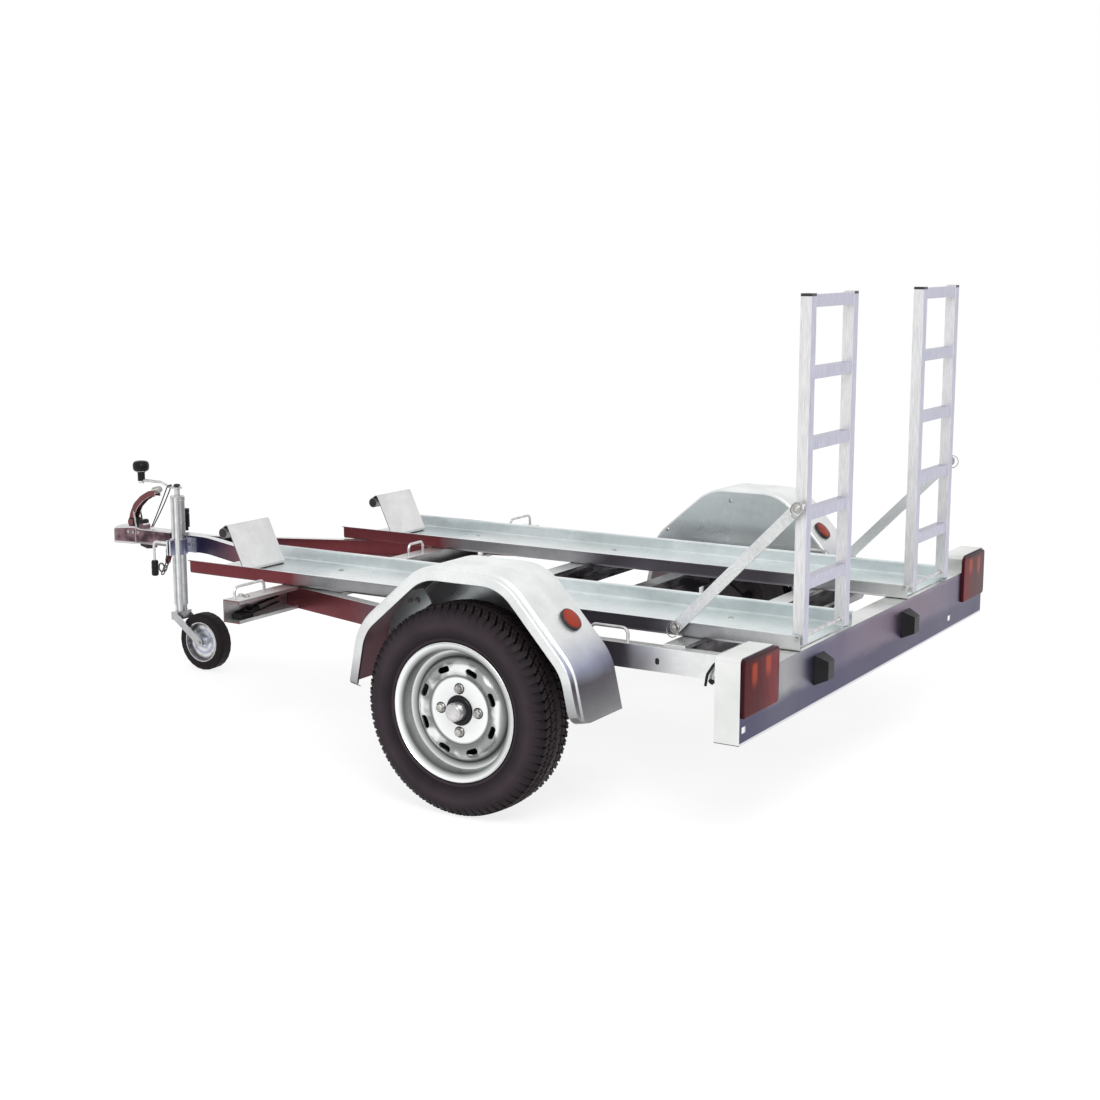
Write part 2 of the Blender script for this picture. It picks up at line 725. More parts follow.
def rear_light_bar():
    """A folded pressing, open to the front, with windows for the tail lamps."""
    front_x = -BAR_BACK + BAR_DEPTH
    made = add("rear_light_bar", prism(bar_outline(0), "X", -BAR_BACK, front_x), galvanised)
    cut(made, prism(bar_outline(BAR_SHEET), "X", BAR_WEB_FRONT_X, front_x + CUT_OVERRUN))
    inner_y = BAR_HALF_WIDTH - BAR_SHEET
    open_bottom = box_outline(-inner_y, inner_y, BAR_BOTTOM_Z - CUT_OVERRUN, BAR_BOTTOM_Z + CUT_OVERRUN)
    cut(made, prism(open_bottom, "X", -BAR_BACK + BAR_LIP, front_x + CUT_OVERRUN))
    window_ends = (BAR_WEB_FRONT_X + CUT_OVERRUN, -BAR_BACK - CUT_OVERRUN)
    for name, side in SIDES:
        cut(made, prism(lamp_outline(0), "X", *window_ends), side)
    for y in (BAR_HALF_WIDTH - BAR_WINDOW_END_INSET, -BAR_WINDOW_INNER_Y):
        low_y = y - BAR_WINDOW_WIDTH / 2
        high_y = y + BAR_WINDOW_WIDTH / 2
        low_z = BAR_WINDOW_Z - BAR_WINDOW_HEIGHT / 2
        high_z = BAR_WINDOW_Z + BAR_WINDOW_HEIGHT / 2
        cut(made, prism(box_outline(low_y, high_y, low_z, high_z), "X", *window_ends))


def lamp_outline(inset):
    """A tail lamp's window, seen from behind."""
    high_y = BAR_HALF_WIDTH - BAR_SHEET - LAMP_END_INSET - inset
    low_y = high_y - LAMP_WIDTH + 2 * inset
    high_z = BAR_EAR_TOP_Z - BAR_SHEET - LAMP_TOP_INSET - inset
    low_z = high_z - LAMP_HEIGHT + 2 * inset
    return rounded_box(low_y, high_y, low_z, high_z, LAMP_CORNER)


def tail_lamp(name, side):
    """A lens that fills the window, and the dark body behind it."""
    outline = lamp_outline(SEAT_GAP)
    back_x = -BAR_BACK - LAMP_LENS_PROUD
    lens_front_x = back_x + LAMP_LENS_THICKNESS
    lens = [
        (back_x, LAMP_LENS_BEVEL),
        (back_x + LAMP_LENS_BEVEL, 0),
        (lens_front_x, 0),
    ]
    rings = []
    for x, inset in lens:
        rings.append([placed("X", x, *point) for point in lamp_outline(SEAT_GAP + inset)])
    add(f"tail_lens_{name}", loft(rings), red_lens, side)
    body_x = lens_front_x + SEAT_GAP
    body = [
        [placed("X", body_x, *point) for point in outline],
        [placed("X", body_x + LAMP_BODY_DEPTH, *point) for point in lamp_outline(LAMP_BODY_TAPER)],
    ]
    add(f"tail_lamp_body_{name}", loft(body), black_plastic, side)


def plate_lamp(name, y):
    """A small box lamp on the bar, narrower at its face."""
    low_z = PLATE_LAMP_MID_Z - PLATE_LAMP_HEIGHT / 2
    high_z = PLATE_LAMP_MID_Z + PLATE_LAMP_HEIGHT / 2
    outline = box_outline(y - PLATE_LAMP_WIDTH / 2, y + PLATE_LAMP_WIDTH / 2, low_z, high_z)
    base_x = -BAR_BACK - SEAT_GAP
    made = tapered(outline, "X", base_x - PLATE_LAMP_DEPTH, base_x, PLATE_LAMP_TAPER, 0)
    add(f"plate_lamp_{name}", made, black_plastic)


def track(name, side):
    """A U of folded sheet with a small lip along each top edge."""
    top = TRACK_FLOOR_Z - TRACK_SHEET + TRACK_HEIGHT
    inner = TRACK_INNER_Y + TRACK_SHEET
    outer = TRACK_OUTER_Y - TRACK_SHEET
    points = [
        (TRACK_INNER_Y - TRACK_LIP, top),
        (inner, top),
        (inner, TRACK_FLOOR_Z),
        (outer, TRACK_FLOOR_Z),
        (outer, top),
        (TRACK_OUTER_Y + TRACK_LIP, top),
    ]
    outline = folded(rounded(points, TRACK_BEND_RADIUS, 2), TRACK_SHEET)
    made = add(f"track_{name}", prism(outline, "X", -TRACK_BACK, TRACK_FRONT), galvanised, side)
    hole_radius = RAMP_PIVOT_RADIUS + PIN_CLEARANCE
    for low, high in (
        (TRACK_INNER_Y - CUT_OVERRUN, TRACK_INNER_Y + CUT_OVERRUN),
        (TRACK_OUTER_Y - CUT_OVERRUN, TRACK_OUTER_Y + CUT_OVERRUN),
    ):
        cut(made, prism(circle(RAMP_MID_X, RAMP_PIVOT_Z, hole_radius), "Y", low, high), side)
    inner += TRACK_BEND_RADIUS
    outer -= TRACK_BEND_RADIUS
    notch = box_outline(inner, outer, TRACK_BOTTOM_Z - CUT_OVERRUN, TRACK_FLOOR_Z + CUT_OVERRUN)
    cut(made, prism(notch, "X", -TRACK_BACK - CUT_OVERRUN, -TRACK_BACK + TRACK_NOTCH), side)
    pin_hole = circle(BRACE_LOW_X, BRACE_LOW_Z, BRACE_PIN_RADIUS + PIN_CLEARANCE)
    cut(made, prism(pin_hole, "Y", TRACK_OUTER_Y - CUT_OVERRUN, TRACK_OUTER_Y + CUT_OVERRUN), side)


def wheel_stop(name, side):
    """A leaning plate that the front wheel rests against, its foot on the track's floor."""
    foot_z = TRACK_FLOOR_Z + SEAT_GAP
    top_x = STOP_FOOT_X + STOP_LEAN
    points = [
        (STOP_FOOT_X + STOP_FOOT_LENGTH, foot_z + STOP_SHEET),
        (STOP_FOOT_X, foot_z + STOP_SHEET),
        (top_x, foot_z + STOP_RISE),
        (top_x + STOP_FOLD_REACH, foot_z + STOP_RISE - STOP_FOLD_DROP),
    ]
    outline = folded(rounded(points, TRACK_BEND_RADIUS, 2), -STOP_SHEET)
    low = TRACK_MID_Y - STOP_WIDTH / 2
    add(f"wheel_stop_{name}", prism(outline, "Y", low, low + STOP_WIDTH), galvanised, side)


def ramp(name, side):
    """A ladder of square tube that stands in the end of its track and turns down to the ground."""
    pivot = (RAMP_MID_X, 0, RAMP_PIVOT_Z)
    back = RAMP_MID_X - RAMP_STILE / 2
    front = RAMP_MID_X + RAMP_STILE / 2
    foot_z = RAMP_PIVOT_Z - RAMP_FOOT_DROP
    stile = box_outline(back, front, foot_z, RAMP_TOP_Z)
    made = add(
        f"ramp_{name}",
        prism(stile, "Y", RAMP_OUTER_Y - RAMP_STILE, RAMP_OUTER_Y),
        aluminium,
        side,
        origin=pivot,
    )
    join(made, prism(stile, "Y", RAMP_INNER_Y, RAMP_INNER_Y + RAMP_STILE), side)
    rung_ends = (RAMP_INNER_Y + RAMP_STILE / 2, RAMP_OUTER_Y - RAMP_STILE / 2)
    for i in range(RAMP_RUNG_COUNT):
        top = RAMP_TOP_Z - i * RAMP_RUNG_PITCH - RAMP_RUNG_INSET
        low_x = RAMP_MID_X - RAMP_RUNG_DEPTH / 2
        outline = box_outline(low_x, low_x + RAMP_RUNG_DEPTH, top - RAMP_RUNG_HEIGHT, top)
        join(made, prism(outline, "Y", *rung_ends), side)
    hole = circle(RAMP_MID_X, RAMP_PIVOT_Z, RAMP_PIVOT_RADIUS + PIN_CLEARANCE)
    cut(made, prism(hole, "Y", RAMP_INNER_Y - CUT_OVERRUN, RAMP_OUTER_Y + CUT_OVERRUN), side)
    low = RAMP_OUTER_Y - RAMP_STILE / 2
    high = brace_inner_y() - SEAT_GAP
    boss = [(0, low), (BRACE_BOSS_RADIUS, low), (BRACE_BOSS_RADIUS, high), (0, high)]
    join(made, turned(boss, "Y", (RAMP_MID_X, 0, BRACE_TOP_Z), PIN_SIDES), side)


def ramp_pivot(name, side):
    """The bolt through both walls of the track and both stiles."""
    low = TRACK_INNER_Y - SEAT_GAP
    high = TRACK_OUTER_Y + SEAT_GAP
    profile = [
        (0, low - RAMP_PIVOT_HEAD_LENGTH),
        (RAMP_PIVOT_HEAD_RADIUS, low - RAMP_PIVOT_HEAD_LENGTH),
        (RAMP_PIVOT_HEAD_RADIUS, low),
        (RAMP_PIVOT_RADIUS, low),
        (RAMP_PIVOT_RADIUS, high),
        (RAMP_PIVOT_HEAD_RADIUS, high),
        (RAMP_PIVOT_HEAD_RADIUS, high + RAMP_PIVOT_HEAD_LENGTH),
        (0, high + RAMP_PIVOT_HEAD_LENGTH),
    ]
    bolt = turned(profile, "Y", (RAMP_MID_X, 0, RAMP_PIVOT_Z), PIN_SIDES)
    add(f"ramp_pivot_{name}", bolt, zinc, side)


def brace_inner_y():
    return TRACK_OUTER_Y + TRACK_LIP + BRACE_SIDE_GAP


def brace_outer_y():
    return brace_inner_y() + BRACE_THICKNESS


def brace(name, side):
    """A flat bar from the track's wall to the ramp's stile, with its lower pin."""
    low = Vector((BRACE_LOW_X, BRACE_LOW_Z))
    high = Vector((RAMP_MID_X, BRACE_TOP_Z))
    middle = (low + high) / 2
    angle = math.atan2(high.y - low.y, high.x - low.x)
    length = (high - low).length + BRACE_WIDTH
    outline = stadium(*middle, BRACE_WIDTH / 2, length, angle)
    made = add(
        f"brace_{name}",
        prism(outline, "Y", brace_inner_y(), brace_outer_y()),
        galvanised,
        side,
        origin=(BRACE_LOW_X, 0, BRACE_LOW_Z),
    )
    half_in = brace_outer_y() - BRACE_THICKNESS / 2
    cap = brace_outer_y() + BRACE_PIN_HEAD_LENGTH
    head = [(0, half_in), (BRACE_PIN_HEAD_RADIUS, half_in), (BRACE_PIN_HEAD_RADIUS, cap), (0, cap)]
    join(made, turned(head, "Y", (high.x, 0, high.y), PIN_SIDES), side)
    inner_end = TRACK_OUTER_Y - TRACK_SHEET - SEAT_GAP
    profile = [
        (0, inner_end - BRACE_PIN_HEAD_LENGTH),
        (BRACE_PIN_HEAD_RADIUS, inner_end - BRACE_PIN_HEAD_LENGTH),
        (BRACE_PIN_HEAD_RADIUS, inner_end),
        (BRACE_PIN_RADIUS, inner_end),
        (BRACE_PIN_RADIUS, brace_inner_y()),
        (BRACE_PIN_RADIUS, half_in),
        (0, half_in),
    ]
    join(made, turned(profile, "Y", (BRACE_LOW_X, 0, BRACE_LOW_Z), PIN_SIDES), side)


def axle_beam():
    """The square tube under the rails that holds the arms' rubber springs."""
    top = RAIL_BOTTOM_Z - SEAT_GAP
    back = AXLE_TUBE_X - AXLE_TUBE / 2
    outline = box_outline(back, back + AXLE_TUBE, top - AXLE_TUBE, top)
    made = add("axle_beam", prism(outline, "Y", -AXLE_TUBE_HALF_WIDTH, AXLE_TUBE_HALF_WIDTH), galvanised)
    inner = box_outline(
        back + AXLE_TUBE_WALL,
        back + AXLE_TUBE - AXLE_TUBE_WALL,
        top - AXLE_TUBE + AXLE_TUBE_WALL,
        top - AXLE_TUBE_WALL,
    )
    reach = AXLE_TUBE_HALF_WIDTH + CUT_OVERRUN
    cut(made, prism(inner, "Y", -reach, reach))


def axle_mid_z():
    return RAIL_BOTTOM_Z - SEAT_GAP - AXLE_TUBE / 2


def trailing_arm(name, side):
    """The arm from the axle tube back to the stub that carries the hub."""
    start = Vector((AXLE_TUBE_X, axle_mid_z()))
    end = Vector((0, TYRE_RADIUS))
    along = (start - end).angle_signed(Vector((1, 0)))
    outline = []
    turns = PIN_SIDES // 2
    for centre, radius, first in ((start, ARM_BIG_RADIUS, -1), (end, ARM_SMALL_RADIUS, 1)):
        for i in range(turns + 1):
            turn = along + first * math.pi / 2 + math.pi * i / turns
            outline.append((centre.x + radius * math.cos(turn), centre.y + radius * math.sin(turn)))
    made = add(f"trailing_arm_{name}", prism(outline, "Y", ARM_Y, ARM_Y + ARM_THICKNESS), dark_steel, side)
    half = AXLE_TUBE / 2 - AXLE_TUBE_WALL - SEAT_GAP
    spigot = box_outline(start.x - half, start.x + half, start.y - half, start.y + half)
    join(made, prism(spigot, "Y", AXLE_TUBE_HALF_WIDTH - AXLE_TUBE, ARM_Y + ARM_THICKNESS / 2), side)
    stub_end = HUB_FACE_Y - STUB_END_INSET
    stub = [
        (0, ARM_Y + ARM_THICKNESS / 2),
        (STUB_RADIUS, ARM_Y + ARM_THICKNESS / 2),
        (STUB_RADIUS, stub_end),
        (0, stub_end),
    ]
    join(made, turned(stub, "Y", (0, 0, TYRE_RADIUS)), side)


def hub(name, side):
    """A flange on a barrel that turns on the stub, closed by the bearing cap."""
    face = HUB_FACE_Y
    back = face - HUB_LENGTH
    cap = face + HUB_CAP_LENGTH
    profile = [
        (HUB_BORE_RADIUS, back),
        (HUB_BARREL_RADIUS, back),
        (HUB_BARREL_RADIUS, face - HUB_FLANGE_THICKNESS),
        (HUB_FLANGE_RADIUS, face - HUB_FLANGE_THICKNESS),
        (HUB_FLANGE_RADIUS, face),
        (HUB_BARREL_RADIUS, face),
        (HUB_BARREL_RADIUS, face + RIM_SHEET),
        (HUB_CAP_RADIUS, face + RIM_SHEET),
        (HUB_CAP_RADIUS, cap - HUB_CAP_EDGE),
        (HUB_CAP_RADIUS - HUB_CAP_EDGE, cap),
        (0, cap),
        (0, face - STUB_END_INSET + RUNNING_GAP),
        (HUB_BORE_RADIUS, face - STUB_END_INSET + RUNNING_GAP),
    ]
    centre = (0, 0, TYRE_RADIUS)
    add(f"hub_{name}", turned(profile, "Y", centre), cast, side, origin=(0, WHEEL_MID_Y, TYRE_RADIUS))


def rim_profile():
    """The barrel with its flanges, and the disc that is welded into its well."""
    half = RIM_WIDTH / 2
    seat = half - RIM_LIP
    well = RIM_WELL_WIDTH / 2
    sheet = RIM_SHEET
    mid = WHEEL_MID_Y
    well_mid = mid - RIM_WELL_OFFSET
    face = mid + DISC_FACE_OFFSET
    foot = face - DISC_RIM_DIP
    outside = [
        (RIM_FLANGE_RADIUS, mid + half),
        (RIM_FLANGE_RADIUS, mid + half - sheet),
        (RIM_FLANGE_RADIUS - sheet, mid + seat),
        (RIM_SEAT_RADIUS, mid + seat),
        (RIM_SEAT_RADIUS - sheet, well_mid + 2 * well),
        (RIM_WELL_RADIUS, well_mid + well),
        (RIM_WELL_RADIUS, well_mid - well),
        (RIM_SEAT_RADIUS - sheet, well_mid - 2 * well),
        (RIM_SEAT_RADIUS, mid - seat),
        (RIM_FLANGE_RADIUS - sheet, mid - seat),
        (RIM_FLANGE_RADIUS, mid - half + sheet),
        (RIM_FLANGE_RADIUS, mid - half),
    ]
    inside = [
        (RIM_FLANGE_RADIUS - 2 * sheet, mid - half),
        (RIM_SEAT_RADIUS - sheet, mid - seat - sheet),
        (RIM_SEAT_RADIUS - 2 * sheet, well_mid - 2 * well - sheet),
        (RIM_WELL_RADIUS - sheet, well_mid - well),
    ]
    disc = [
        (RIM_WELL_RADIUS - sheet, foot - sheet),
        (DISC_CROWN_RADIUS, face + DISC_CROWN_RISE - sheet),
        (DISC_FACE_RADIUS, face),
        (DISC_BORE_RADIUS, face),
        (DISC_BORE_RADIUS, face + sheet),
        (DISC_FACE_RADIUS, face + sheet),
        (DISC_CROWN_RADIUS, face + DISC_CROWN_RISE + sheet / 2),
        (RIM_WELL_RADIUS - sheet, foot + sheet),
    ]
    front = [
        (RIM_SEAT_RADIUS - 2 * sheet, well_mid + 2 * well + sheet),
        (RIM_SEAT_RADIUS - sheet, mid + seat + sheet),
        (RIM_FLANGE_RADIUS - 2 * sheet, mid + half),
    ]
    return outside + inside + disc + front


def rim(name, side):
    """A steel wheel: barrel and disc in one, with slots round the disc."""
    origin = (0, WHEEL_MID_Y, TYRE_RADIUS)
    made = add(
        f"rim_{name}",
        turned(rim_profile(), "Y", (0, 0, TYRE_RADIUS), WHEEL_SIDES),
        painted_silver,
        side,
        origin=origin,
    )
    face = WHEEL_MID_Y + DISC_FACE_OFFSET
    for i in range(SLOT_COUNT):
        turn = SLOT_TURN + 2 * math.pi * i / SLOT_COUNT
        centre = (SLOT_RADIUS * math.cos(turn), TYRE_RADIUS + SLOT_RADIUS * math.sin(turn))
        slot = stadium(*centre, SLOT_WIDTH / 2, SLOT_LENGTH, turn + math.pi / 2)
        cut(made, prism(slot, "Y", face - DISC_RIM_DIP, face + DISC_RIM_DIP + CUT_OVERRUN), side)


def tyre(name, side):
    """A road tyre, hollow and open round the rim, whose lower side stands on the floor."""
    mid = WHEEL_MID_Y
    half = TYRE_WIDTH / 2
    tread = TREAD_WIDTH / 2
    bead = RIM_WIDTH / 2 - RIM_LIP - SEAT_GAP
    bead_radius = RIM_SEAT_RADIUS + SEAT_GAP
    bulge_radius = (TYRE_RADIUS + bead_radius) / 2
    shoulder = TYRE_RADIUS - SHOULDER_DROP
    outside = [
        (bead_radius, bead),
        (RIM_FLANGE_RADIUS, bead),
        (bulge_radius - SHOULDER_DROP, half - TREAD_CROWN),
        (bulge_radius, half),
        (bulge_radius + SHOULDER_DROP, half - TREAD_CROWN),
        (shoulder, tread + SHOULDER_DROP - TREAD_CROWN),
        (TYRE_RADIUS - TREAD_CROWN, tread),
        (TYRE_RADIUS, tread / 2),
    ]
    inside = [
        (TYRE_RADIUS - TYRE_WALL, tread - TREAD_CROWN),
        (bulge_radius, half - TYRE_WALL),
        (bead_radius, bead - TYRE_WALL),
    ]
    profile = [(radius, mid + y) for radius, y in outside]
    profile += [(radius, mid - y) for radius, y in outside[::-1]]
    profile += [(radius, mid - y) for radius, y in inside[::-1]]
    profile += [(radius, mid + y) for radius, y in inside]
    made = turned(profile, "Y", (0, 0, TYRE_RADIUS), WHEEL_SIDES)
    add(f"tyre_{name}", made, rubber, side, origin=(0, WHEEL_MID_Y, TYRE_RADIUS))


def guard_path():
    """The mudguard's top line, from its rear foot over the wheel to its front foot."""
    corners = [
        GUARD_REAR_FOOT,
        GUARD_REAR_KNEE,
        GUARD_REAR_TOP,
        GUARD_FRONT_TOP,
        GUARD_FRONT_KNEE,
        GUARD_FRONT_FOOT,
    ]
    return rounded(corners, GUARD_BEND_RADIUS)


def mudguard(name, side):
    """A bent strip with a small inner lip, and a deep outer lip that steps out and turns in at its edge."""
    points = [
        (GUARD_INNER_LIP, GUARD_INNER_Y),
        (0, GUARD_INNER_Y),
        (0, GUARD_FOLD_Y),
        (GUARD_STEP_DEPTH, GUARD_FOLD_Y),
        (GUARD_STEP_DEPTH + GUARD_STEP_RISE, GUARD_OUTER_Y),
        (GUARD_LIP_DEPTH, GUARD_OUTER_Y),
        (GUARD_LIP_DEPTH, GUARD_OUTER_Y - GUARD_LIP_RETURN),
    ]
    section = folded(points, GUARD_SHEET)
    add(f"mudguard_{name}", bent(guard_path(), section, "Y"), guard_finish, side)


def stay_outline():
    """The crescent of a small plate that shows between the tyre and the mudguard's front."""
    first = Vector(STAY_POINTS[-1]) - Vector((0, TYRE_RADIUS))
    last = Vector(STAY_POINTS[0]) - Vector((0, TYRE_RADIUS))
    start = math.atan2(first.y, first.x)
    end = math.atan2(last.y, last.x)
    outline = list(STAY_POINTS)
    for i in range(BEND_STEPS + 1):
        turn = start + (end - start) * i / BEND_STEPS
        outline.append((STAY_INNER_RADIUS * math.cos(turn), TYRE_RADIUS + STAY_INNER_RADIUS * math.sin(turn)))
    return outline


def guard_bracket(name, side):
    """The plate inside the mudguard, its front stay, and the two arms that hold it to the rail."""
    line = beside(guard_path(), GUARD_SHEET + BRACKET_TOP_GAP)
    outline = [point for point in line if BRACKET_REAR_X < point.x < BRACKET_FRONT_X]
    outline = [Vector((BRACKET_REAR_X, line_at(line, BRACKET_REAR_X)))] + outline
    outline.append(Vector((BRACKET_FRONT_X, line_at(line, BRACKET_FRONT_X))))
    outline += [Vector((BRACKET_FRONT_X, BRACKET_BOTTOM_Z)), Vector((BRACKET_REAR_X, BRACKET_BOTTOM_Z))]
    low = GUARD_INNER_Y - BRACKET_SHEET - SEAT_GAP
    high = GUARD_INNER_Y - SEAT_GAP
    made = add(f"mudguard_bracket_{name}", prism(outline, "Y", low, high), galvanised, side)
    low_z = RAIL_BOTTOM_Z + BRACKET_ARM_RISE
    half = BRACKET_ARM_WIDTH / 2
    for x in (BRACKET_ARM_X, -BRACKET_ARM_X):
        arm = box_outline(x - half, x + half, low_z, low_z + BRACKET_ARM_HEIGHT)
        join(made, prism(arm, "Y", RAIL_OUTER_Y + SEAT_GAP, high - BRACKET_SHEET / 4), side)
        strut = box_outline(x - half, x + half, low_z, BRACKET_BOTTOM_Z + BRACKET_ARM_HEIGHT / 2)
        join(made, prism(strut, "Y", low - BRACKET_SHEET / 2, high - BRACKET_SHEET / 4), side)
    join(made, prism(stay_outline(), "Y", STAY_Y, STAY_Y + BRACKET_SHEET), side)
    half /= 2
    stay_arm = box_outline(STAY_ARM_X - half, STAY_ARM_X + half, STAY_ARM_Z, STAY_ARM_Z + BRACKET_SHEET)
    join(made, prism(stay_arm, "Y", high - BRACKET_SHEET / 2, STAY_Y + BRACKET_SHEET / 2), side)


def reflector(name, side):
    """A round reflector on the mudguard's rear slope."""
    top = Vector(GUARD_REAR_TOP)
    knee = Vector(GUARD_REAR_KNEE)
    slope = (knee - top).normalized()
    centre = top + (knee - top) * REFLECTOR_SLOPE_SHARE
    out = Vector((slope.y, -slope.x))
    if out.y < 0:
        out = -out
    profile = [
        (0, SEAT_GAP),
        (REFLECTOR_RADIUS, SEAT_GAP),
        (REFLECTOR_RADIUS, REFLECTOR_THICKNESS - REFLECTOR_EDGE),
        (REFLECTOR_RADIUS - REFLECTOR_EDGE, REFLECTOR_THICKNESS),
        (0, REFLECTOR_THICKNESS),
    ]
    bm = turned(profile, "Z")
    turn = Vector((0, 0, 1)).rotation_difference(Vector((out.x, 0, out.y))).to_matrix().to_4x4()
    bm.transform(Matrix.Translation((centre.x, REFLECTOR_Y, centre.y)) @ turn)
    add(f"side_reflector_{name}", bm, amber, side)


def tie_loop(name, start, end, side=1):
    """A bent rod whose two legs stand on a member."""
    start = Vector(start)
    end = Vector(end)
    up = Vector((0, 0, LOOP_HEIGHT - LOOP_ROD_RADIUS))
    path = rounded([start, start + up, end + up, end], LOOP_BEND_RADIUS)
    add(f"tie_loop_{name}", rod(path, LOOP_ROD_RADIUS), zinc, side)


def tie_loops():
    """Two at the ends of the front member, one near its middle, and one on each rail."""
    deck = DECK_Z + SEAT_GAP
    x = FRONT_MEMBER_X
    centre_low = LOOP_CENTRE_Y - LOOP_CENTRE_SPAN / 2
    tie_loop("front_centre", (x, centre_low, deck), (x, centre_low + LOOP_CENTRE_SPAN, deck))
    rail_z = RAIL_TOP_Z + SEAT_GAP
    rail_mid_y = RAIL_OUTER_Y - RAIL_FLANGE / 2
    rear_low = LOOP_REAR_X - LOOP_REAR_SPAN / 2
    for name, side in SIDES:
        tie_loop(f"front_{name}", (x, LOOP_FRONT_INNER_Y, deck), (x, LOOP_FRONT_OUTER_Y, deck), side)
        tie_loop(
            f"rear_{name}",
            (rear_low, rail_mid_y, rail_z),
            (rear_low + LOOP_REAR_SPAN, rail_mid_y, rail_z),
            side,
        )


def pipe(outer_radius, inner_radius, low, high):
    return [(inner_radius, low), (outer_radius, low), (outer_radius, high), (inner_radius, high)]


def jockey_tubes():
    """The outer tube in the clamp, and the inner tube that slides in it with its wheel."""
    axis = (JOCKEY_X, JOCKEY_Y, 0)
    bore = JOCKEY_OUTER_RADIUS - JOCKEY_TUBE_WALL
    outer = turned(pipe(JOCKEY_OUTER_RADIUS, bore, JOCKEY_TUBE_BOTTOM_Z, JOCKEY_TUBE_TOP_Z), "Z", axis)
    add("jockey_outer_tube", outer, zinc)
    bottom = FORK_BRIDGE_BOTTOM_Z + FORK_BRIDGE_HEIGHT + SEAT_GAP
    hollow = JOCKEY_INNER_RADIUS - JOCKEY_TUBE_WALL
    inner = turned(pipe(JOCKEY_INNER_RADIUS, hollow, bottom, JOCKEY_INNER_TOP_Z), "Z", axis)
    add("jockey_inner_tube", inner, zinc, origin=axis)


def jockey_crank():
    """The cap and neck on the outer tube, with the cranked handle and its knob."""
    bottom = JOCKEY_TUBE_TOP_Z + SEAT_GAP
    neck_top = JOCKEY_TUBE_TOP_Z + JOCKEY_NECK_HEIGHT
    disc_top = neck_top + JOCKEY_DISC_THICKNESS
    profile = [
        (0, bottom),
        (JOCKEY_OUTER_RADIUS, bottom),
        (JOCKEY_OUTER_RADIUS, bottom + JOCKEY_CAP_HEIGHT),
        (JOCKEY_NECK_RADIUS, bottom + JOCKEY_CAP_HEIGHT),
        (JOCKEY_NECK_RADIUS, neck_top),
        (JOCKEY_DISC_RADIUS, neck_top),
        (JOCKEY_DISC_RADIUS, disc_top),
        (JOCKEY_DOME_RADIUS, disc_top),
        (JOCKEY_DOME_RADIUS / 2, disc_top + JOCKEY_DOME_HEIGHT),
        (0, disc_top + JOCKEY_DOME_HEIGHT),
    ]
    made = add("jockey_crank", turned(profile, "Z", (JOCKEY_X, JOCKEY_Y, 0)), zinc)
    line = [(JOCKEY_X + reach, JOCKEY_Y, z) for reach, z in CRANK_LINE]
    join(made, rod(rounded(line, CRANK_BEND_RADIUS), CRANK_RADIUS))
    reach, low = CRANK_LINE[-1]
    stem_top = low + CRANK_STEM_HEIGHT
    top = stem_top + CRANK_CAP_HEIGHT
    knob = [
        (0, low - 2 * CRANK_RADIUS),
        (CRANK_STEM_RADIUS, low - 2 * CRANK_RADIUS),
        (CRANK_STEM_RADIUS, stem_top),
        (CRANK_CAP_RADIUS - CRANK_CAP_EDGE, stem_top),
        (CRANK_CAP_RADIUS, stem_top + CRANK_CAP_HEIGHT / 3),
        (CRANK_CAP_RADIUS - CRANK_CAP_EDGE, top - CRANK_CAP_EDGE),
        (CRANK_STEM_RADIUS, top),
        (0, top),
    ]
    join(made, turned(knob, "Z", (JOCKEY_X + reach, JOCKEY_Y, 0), PIN_SIDES))


def jockey_fork():
    """Two arms that trail back from the foot of the inner tube to the small wheel's axle."""
    low = FORK_BRIDGE_BOTTOM_Z
    high = low + FORK_BRIDGE_HEIGHT
    inner = JOCKEY_WHEEL_WIDTH / 2 + RUNNING_GAP
    outer = inner + FORK_ARM_THICKNESS
    bridge = box_outline(JOCKEY_X - FORK_BRIDGE_LENGTH / 2, JOCKEY_X + FORK_BRIDGE_LENGTH / 2, low, high)
    made = add(
        "jockey_fork",
        prism(bridge, "Y", JOCKEY_Y - outer, JOCKEY_Y + outer),
        zinc,
        origin=(JOCKEY_X, JOCKEY_Y, 0),
    )
    start = Vector((JOCKEY_X, (low + high) / 2))
    end = Vector((JOCKEY_WHEEL_X, JOCKEY_WHEEL_RADIUS))
    middle = (start + end) / 2
    angle = math.atan2(end.y - start.y, end.x - start.x)
    length = (end - start).length + FORK_ARM_WIDTH
    outline = stadium(*middle, FORK_ARM_WIDTH / 2, length, angle)
    for edge in (JOCKEY_Y - outer, JOCKEY_Y + inner):
        join(made, prism(outline, "Y", edge, edge + FORK_ARM_THICKNESS))
    reach = outer + FORK_ARM_THICKNESS
    axle = [
        (0, JOCKEY_Y - reach),
        (FORK_AXLE_RADIUS, JOCKEY_Y - reach),
        (FORK_AXLE_RADIUS, JOCKEY_Y + reach),
        (0, JOCKEY_Y + reach),
    ]
    join(made, turned(axle, "Y", (*end[:1], 0, end.y), PIN_SIDES))


